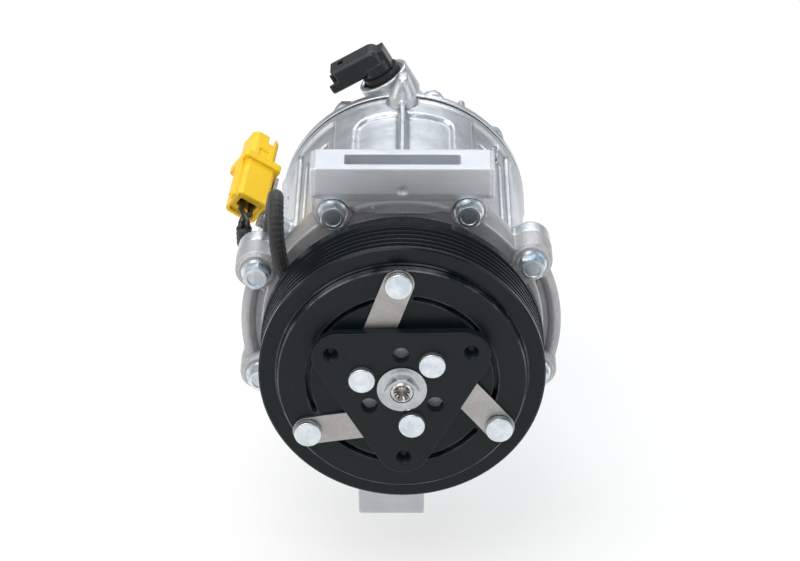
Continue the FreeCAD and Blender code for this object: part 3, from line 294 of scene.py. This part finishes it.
M = {
    "cast_aluminium": cast_metal("cast_bright", (0.74, 0.77, 0.80), (0.58, 0.615, 0.65), 0.36, 0.55, 0.55, 5.0, metal=0.85),
    "cast_aluminium_warm": cast_metal("cast_blasted", (0.60, 0.60, 0.605), (0.44, 0.44, 0.45), 0.48, 1.3, 0.75, 3.2, speck=0.1, metal=0.62, milled=True),
    "black_coated_steel": coated_black("coated_black", (0.0050, 0.0095, 0.0108), (0.0075, 0.0125, 0.0140), 0.36),
    "coated_armature": coated_black("coated_armature", (0.0050, 0.0093, 0.0106), (0.0073, 0.0122, 0.0138), 0.34, grain=0.00002, rub=((53.1, 53.8, 0.55), (38.9, 42.2, 0.2))),
    "coated_pulley": coated_black("coated_pulley", (0.0046, 0.0082, 0.0094), (0.0068, 0.0108, 0.0122), 0.21, dust=0.3, grain=0.000007, rub=((54.0, 55.0, 0.4),)),
    "zinc_steel": zinc("zinc_plate"),
    "zinc_rivet": zinc("zinc_rivet", False),
    "spring_steel": turned_metal("spring_steel", (0.455, 0.445, 0.430), (0.395, 0.387, 0.375), 0.38, worn=0.0, lines=2200.0, axis=(1.0, 0.15, 0.3)),
    "bearing_steel": turned_metal("bearing_steel", (0.66, 0.66, 0.66), (0.48, 0.48, 0.48), 0.24),
    "machined_steel": turned_metal("machined_steel", (0.56, 0.53, 0.515), (0.40, 0.38, 0.37), 0.24),
    # painted light: a brighter, less metallic copy of machined steel, so the clutch hub does not read dark where it
    # sits in shade
    "painted_bright_hub_steel": turned_metal("painted_bright_hub", (0.88, 0.89, 0.90), (0.74, 0.75, 0.76), 0.5, metal=0.35, worn=0.0),
    "bright_nut_steel": turned_metal("bright_nut", (0.56, 0.585, 0.59), (0.42, 0.44, 0.445), 0.10, worn=0.0),
    "swash_iron": turned_metal("swash_iron", (0.34, 0.33, 0.32), (0.22, 0.21, 0.20), 0.38),
    "piston_aluminium": turned_metal("piston_aluminium", (0.72, 0.72, 0.72), (0.58, 0.58, 0.59), 0.34),
    "shoe_steel": turned_metal("shoe_steel", (0.70, 0.70, 0.70), (0.55, 0.55, 0.55), 0.18),
    "coil_steel": coated_black("coil_steel", (0.10, 0.10, 0.10), (0.15, 0.15, 0.15), 0.45, 0.2),
    "coil_resin": plastic("coil_resin", (0.10, 0.045, 0.025), (0.06, 0.03, 0.02), 0.4),
    "seal_rubber": plastic("seal_rubber", (0.016, 0.016, 0.016), (0.010, 0.010, 0.010), 0.6, edge=0.05),
    "valve_brass": turned_metal("valve_brass", (0.62, 0.47, 0.22), (0.48, 0.35, 0.15), 0.3),
    "black_plastic": plastic("black_plastic", (0.016, 0.019, 0.021), (0.010, 0.012, 0.013), 0.36, 0.00005, 1100.0, (0.11, 0.12, 0.13), 0.5),
    "yellow_plastic": plastic("yellow_plastic", (1.0, 0.66, 0.008), (0.95, 0.50, 0.005), 0.42, 0.00004, 900.0, (1.0, 0.86, 0.12), 0.5),
    "bracket_steel": turned_metal("bracket_steel", (0.66, 0.66, 0.65), (0.44, 0.44, 0.43), 0.26, lines=900.0),
    "tinned_terminals": turned_metal("tinned_terminals", (0.72, 0.71, 0.68), (0.55, 0.54, 0.52), 0.28),
    "wire_insulation": plastic("wire_insulation", (0.012, 0.012, 0.013), (0.008, 0.008, 0.009), 0.32, 0.00003, 1400.0, (0.05, 0.05, 0.05), 0.2),
}


def sleeve_material():
    a = Mat("woven_sleeve")
    g1 = a.noise(1600.0, 3.0, 0.6)
    g2 = a.noise(90.0, 4.0, 0.6)
    col = a.mix(a.rng(g1, 0.35, 0.7, 0.0, 1.0), (0.008, 0.008, 0.009), (0.018, 0.018, 0.018))
    col = a.mix(a.rng(g2, 0.5, 0.75, 0.0, 0.35), col, (0.040, 0.026, 0.016))
    col = a.mix(a.math("MULTIPLY", a.pointy(0.51, 0.60), 0.5), col, (0.085, 0.083, 0.08))
    return a.set(color=col, rough=a.rng(g1, 0.3, 0.7, 0.45, 0.65), metal=0.0, normal=a.bump(g1, 0.00006, 0.8), sheen=0.15)


M["black_sleeve"] = sleeve_material()


def valve_material():
    """Brass cartridge whose flange and neck carry a dark cover."""
    a = Mat("valve_cartridge")
    g1 = a.noise(900.0, 3.0, 0.6)
    g2 = a.noise(120.0, 4.0, 0.6)
    d = a.n("ShaderNodeVectorMath", operation="DOT_PRODUCT")
    a.put(d.inputs[0], a.co.outputs["Object"])
    d.inputs[1].default_value = (-0.5, 0.0, 0.8660254)
    top = a.rng(d.outputs["Value"], 0.0475, 0.0485, 0.0, 1.0)
    brass = a.mix(a.rng(g2, 0.3, 0.7, 0.0, 1.0), (0.60, 0.45, 0.21), (0.46, 0.33, 0.15))
    black = a.mix(a.rng(g1, 0.3, 0.7, 0.0, 1.0), (0.010, 0.012, 0.013), (0.016, 0.018, 0.020))
    return a.set(color=a.mix(top, brass, black), rough=a.rng(g1, 0.3, 0.7, 0.32, 0.46), metal=a.rng(top, 0.0, 1.0, 1.0, 0.0), normal=a.bump(g1, 0.00003, 0.8))


M["valve_brass"] = valve_material()

SLOT_NODES = {
    "cast_aluminium": "crankcase rear_head",
    "cast_aluminium_warm": "front_housing",
    "black_coated_steel": "hub_plate",
    "coated_armature": "armature_plate",
    "coated_pulley": "pulley",
    "zinc_steel": "flange_bolts head_bolts bracket_screw oil_plug relief_valve",
    "zinc_rivet": "armature_rivets hub_rivets",
    "spring_steel": "leaf_springs suction_reed discharge_reed seal_snap_ring nose_snap_rings valve_snap_ring",
    "bearing_steel": "bearing_outer_ring bearing_inner_ring bearing_balls front_shaft_bearing rear_shaft_bearing thrust_bearing_front clutch_shim",
    "machined_steel": "drive_shaft clutch_hub lug_rotor swash_sleeve valve_plate valve_pack_bolt control_plunger",
    "bright_nut_steel": "shaft_nut",
    "swash_iron": "swash_plate",
    "piston_aluminium": "piston_1 piston_2 piston_3 piston_4 piston_5 piston_6",
    "shoe_steel": "shoes_1 shoes_2 shoes_3 shoes_4 shoes_5 shoes_6",
    "coil_steel": "coil_shell",
    "coil_resin": "coil_winding",
    "seal_rubber": "case_seal_rings shaft_seal control_valve_rings head_gasket",
    "valve_brass": "control_valve_body",
    "black_plastic": "control_connector",
    "yellow_plastic": "coil_connector",
    "black_sleeve": "coil_lead_sleeve",
    "wire_insulation": "coil_wires",
    "bracket_steel": "connector_bracket",
    "tinned_terminals": "plug_terminals",
}
NODE_MAT = {n: s for s, ns in SLOT_NODES.items() for n in ns.split()}
# the clutch hub takes the painted-light bright steel in place of machined_steel
NODE_MAT["clutch_hub"] = "painted_bright_hub_steel"


def dress(obj, mat):
    obj.data.materials.clear()
    obj.data.materials.append(mat)


for name, obj in NODES.items():
    dress(obj, M[NODE_MAT[name]])


# ----------------------------------------------------------------- finer castings and mouldings
def copy_welded(name, new):
    """A closed copy of a CAD node's mesh."""
    src = NODES[name]
    me = src.data.copy()
    me.name = new
    obj = bpy.data.objects.new(new, me)
    scene.collection.objects.link(obj)
    bm = bmesh.new()
    bm.from_mesh(me)
    bmesh.ops.remove_doubles(bm, verts=bm.verts, dist=2e-6)
    bmesh.ops.dissolve_degenerate(bm, dist=1e-7, edges=bm.edges)
    bm.to_mesh(me)
    bm.free()
    if hasattr(me, "free_normals_split"):
        me.free_normals_split()
    for a in [x for x in me.attributes if x.name in ("custom_normal", "sharp_edge", "sharp_face")]:
        me.attributes.remove(a)
    return obj


def apply_all(obj):
    dg = bpy.context.evaluated_depsgraph_get()
    me = bpy.data.meshes.new_from_object(obj.evaluated_get(dg), depsgraph=dg)
    obj.modifiers.clear()
    old = obj.data
    obj.data = me
    bpy.data.meshes.remove(old)
    return obj


def machined_front(p):
    """How far a point of the front housing may soften: its machined faces keep their edges."""
    x, y, z = p.x / MM, p.y / MM, p.z / MM
    if z > 66.0 and 25.0 < y < 46.0:
        return 0.12
    if z < -72.0:
        return 0.35
    if math.hypot(x, z) < 52.0 and y < 30.0:
        return 0.3
    return 1.0


def machined_rear(p):
    y = p.y / MM
    return 0.3 if y > 188.0 else 1.0


def cast_skin(name, new, voxel, passes, budget, slot, factor=0.5, keep=None):
    """The node's own form with the small fillets that a casting or moulding has."""
    obj = copy_welded(name, new)
    r = obj.modifiers.new("voxels", "REMESH")
    r.mode = "VOXEL"
    r.voxel_size = voxel
    r.adaptivity = 0.0
    apply_all(obj)
    s = obj.modifiers.new("soften", "SMOOTH")
    s.factor = factor
    s.iterations = passes
    if keep is not None:
        vg = obj.vertex_groups.new(name="soft")
        levels = {}
        for v in obj.data.vertices:
            levels.setdefault(round(keep(v.co), 2), []).append(v.index)
        for w, idx in levels.items():
            vg.add(idx, w, "REPLACE")
        s.vertex_group = "soft"
    apply_all(obj)
    obj.vertex_groups.clear()
    faces = len(obj.data.polygons) * 2
    if faces > budget:
        d = obj.modifiers.new("thin", "DECIMATE")
        d.ratio = budget / faces
        apply_all(obj)
    obj.data.polygons.foreach_set("use_smooth", [True] * len(obj.data.polygons))
    dress(obj, M[slot])
    body = NODES[name]["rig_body"]
    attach(obj, body)
    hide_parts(name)
    return obj


cast_skin("front_housing", "front_housing_casting", 0.55 * MM, 6, 198000, "cast_aluminium_warm", keep=machined_front)
cast_skin("crankcase", "crankcase_casting", 0.72 * MM, 8, 196000, "cast_aluminium")
cast_skin("rear_head", "rear_head_casting", 0.62 * MM, 6, 180000, "cast_aluminium", keep=machined_rear)
cast_skin("coil_connector", "coil_connector_moulding", 0.25 * MM, 5, 120000, "yellow_plastic")
cast_skin("control_connector", "control_connector_moulding", 0.25 * MM, 5, 90000, "black_plastic")


for name, obj in NODES.items():
    if obj.hide_render:
        continue
    if "custom_normal" in obj.data.attributes:
        obj.data.attributes.remove(obj.data.attributes["custom_normal"])
    obj.data.polygons.foreach_set("use_smooth", [True] * len(obj.data.polygons))
    w = obj.modifiers.new("weld", "WELD")
    w.merge_threshold = 2e-6
    e = obj.modifiers.new("creases", "EDGE_SPLIT")
    e.use_edge_angle = True
    e.use_edge_sharp = False
    e.split_angle = math.radians(9.0 if name == "hub_plate" else 24.0)
    n = obj.modifiers.new("flats", "WEIGHTED_NORMAL")
    n.mode = "FACE_AREA"
    n.weight = 80
    n.keep_sharp = False


# ----------------------------------------------------------------- the coil lead
def spline_points(points, step_mm=0.5):
    cu = bpy.data.curves.new("route", "CURVE")
    cu.dimensions = "3D"
    sp = cu.splines.new("NURBS")
    sp.points.add(len(points) - 1)
    for p, q in zip(sp.points, points):
        p.co = (q[0] * MM, q[1] * MM, q[2] * MM, 1.0)
    sp.order_u = 3
    sp.use_endpoint_u = True
    sp.resolution_u = 40
    ob = bpy.data.objects.new("route", cu)
    scene.collection.objects.link(ob)
    dg = bpy.context.evaluated_depsgraph_get()
    me = bpy.data.meshes.new_from_object(ob.evaluated_get(dg), depsgraph=dg)
    pts = [v.co.copy() for v in me.vertices]
    bpy.data.objects.remove(ob)
    bpy.data.curves.remove(cu)
    bpy.data.meshes.remove(me)
    # even spacing
    out, carry = [pts[0]], 0.0
    step = step_mm * MM
    for a, b in zip(pts, pts[1:]):
        d = (b - a).length
        if d < 1e-12:
            continue
        t = step - carry
        while t <= d:
            out.append(a + (b - a) * (t / d))
            t += step
        carry = d - (t - step)
    if (out[-1] - pts[-1]).length > step * 0.3:
        out.append(pts[-1])
    return out


def sweep(name, pts, around, radius_at):
    bm = bmesh.new()
    n = len(pts)
    tangent = [(pts[min(i + 1, n - 1)] - pts[max(i - 1, 0)]).normalized() for i in range(n)]
    up = Vector((0, 0, 1)) if abs(tangent[0].z) < 0.9 else Vector((1, 0, 0))
    side = tangent[0].cross(up).normalized()
    rings, s = [], 0.0
    for i in range(n):
        if i:
            s += (pts[i] - pts[i - 1]).length
            q = tangent[i - 1].rotation_difference(tangent[i])
            side = (q @ side)
            side = (side - tangent[i] * side.dot(tangent[i])).normalized()
        other = tangent[i].cross(side)
        ring = []
        for k in range(around):
            a = 2 * math.pi * k / around
            r = radius_at(s, a)
            ring.append(bm.verts.new(pts[i] + (side * math.cos(a) + other * math.sin(a)) * r))
        rings.append(ring)
    for r0, r1 in zip(rings, rings[1:]):
        for k in range(around):
            bm.faces.new((r0[k], r0[(k + 1) % around], r1[(k + 1) % around], r1[k]))
    bm.faces.new(list(reversed(rings[0])))
    bm.faces.new(rings[-1])
    bmesh.ops.recalc_face_normals(bm, faces=bm.faces)
    me = bpy.data.meshes.new(name)
    bm.to_mesh(me)
    bm.free()
    me.polygons.foreach_set("use_smooth", [True] * len(me.polygons))
    ob = bpy.data.objects.new(name, me)
    scene.collection.objects.link(ob)
    return ob


SLEEVE = [(-37.08, 14.9, 19.72), (-37.08, 22.0, 19.72), (-51.65, 22.0, 27.46), (-55.0, 24.6, 46.0), (-55.2, 33.0, 57.6),
          (-55.6, 46.5, 57.4), (-58.0, 60.0, 40.0), (-59.8, 64.0, 22.0), (-71.0, 67.4, 18.2), (-71.3, 66.4, 25.0), (-71.2, 66.0, 29.6)]


def braid(s, a):
    u = a * 8.0 / math.pi
    v = s / MM * 0.42
    w = math.sin((u + v) * math.pi) * math.sin((u - v) * math.pi)
    return (3.42 + 0.20 * w) * MM


sleeve_pts = spline_points(SLEEVE, 0.45)
sleeve = sweep("coil_lead_braid", sleeve_pts, 64, braid)
dress(sleeve, M["black_sleeve"])
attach(sleeve, NODES["coil_lead_sleeve"]["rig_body"])
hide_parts("coil_lead_sleeve")


CO = Vector((-71.1, 82.0, 31.4))
CU = Vector((0.1249, 0.95904, 0.25426))
CW = Vector((0.8374, 0.03555, -0.54544))
CN = CW.cross(CU)


def wire_path(k):
    """One insulated wire: out of the sleeve, past its twin with a half turn, and into the connector."""
    s = 1.0 if k else -1.0
    base = Vector((-71.2, 66.0, 29.0))
    goal = CO + CW * (2.2 * s) + CN * 0.2
    pts = [base + Vector((-1.6 * s, -0.2, -1.5)), base + Vector((-1.7 * s, -0.1, 2.2)),
           base.lerp(goal, 0.40) + Vector((-1.3 * s, 1.9 * s, 1.6)),
           base.lerp(goal, 0.70) + Vector((0.9 * s, -1.5 * s, 0.9)),
           goal - CU * 2.6, goal + CU * 5.4]
    return [tuple(p) for p in pts]


for k in (0, 1):
    w = sweep("coil_wire_%d" % (k + 1), spline_points(wire_path(k), 0.5), 20, lambda s, a: 1.35 * MM)
    dress(w, M["wire_insulation"])
    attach(w, NODES["coil_wires"]["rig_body"])
    if k == 0:
        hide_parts("coil_wires")


# ----------------------------------------------------------------- floor and light
def area_light(name, where, aim, size, power, color=(1, 1, 1), size_y=None):
    l = bpy.data.lights.new(name, "AREA")
    l.shape = "RECTANGLE"
    l.size = size
    l.size_y = size_y or size
    l.energy = power
    l.color = color
    o = bpy.data.objects.new(name, l)
    scene.collection.objects.link(o)
    o.location = where
    o.rotation_mode = "QUATERNION"
    o.rotation_quaternion = (Vector(aim) - Vector(where)).to_track_quat("-Z", "Y")
    return o


floor_z = CAD_LO.z - 0.0002
bm = bmesh.new()
S = 6.0
N = 24
grid = [[bm.verts.new((-S + 2 * S * i / N, -S + 2 * S * j / N, floor_z)) for j in range(N + 1)] for i in range(N + 1)]
for i in range(N):
    for j in range(N):
        bm.faces.new((grid[i][j], grid[i + 1][j], grid[i + 1][j + 1], grid[i][j + 1]))
me = bpy.data.meshes.new("floor")
bm.to_mesh(me)
bm.free()
floor = bpy.data.objects.new("floor", me)
scene.collection.objects.link(floor)
fm = Mat("floor_paper")
g = fm.noise(60.0, 3.0)
fm.set(color=fm.mix(g, (0.40, 0.40, 0.40), (0.42, 0.42, 0.42)), rough=0.9, normal=fm.bump(g, 0.0001, 0.3), spec=0.1)
fm.b.inputs["Emission Color"].default_value = (1.0, 1.0, 1.0, 1.0)
fm.b.inputs["Emission Strength"].default_value = 0.60
dress(floor, fm.m)

world = bpy.data.worlds.new("studio")
scene.world = world
world.use_nodes = True
bg = world.node_tree.nodes.get("Background")
bg.inputs["Color"].default_value = (0.94, 0.96, 1.0, 1.0)
bg.inputs["Strength"].default_value = 0.30

area_light("key", (-0.45, -0.30, 1.45), (0, 0.05, 0), 1.4, 15.0, (1.0, 0.995, 0.985))
area_light("fill", (1.45, -0.30, 0.75), (0, 0.05, 0), 1.0, 5.5, (0.95, 0.98, 1.0))
area_light("left", (-1.45, -0.10, 0.65), (0, 0.05, 0), 0.9, 4.5, (1.0, 1.0, 1.0))
area_light("rim", (0.10, 1.15, 1.15), (0, 0.10, 0), 1.4, 10.0, (0.95, 0.98, 1.0), 0.6)
area_light("front", (0.0, -1.7, 0.9), (0, 0.0, 0.0), 1.2, 2.5, (1, 1, 1), 0.5)

scene.view_settings.view_transform = "Standard"
scene.view_settings.look = "None"
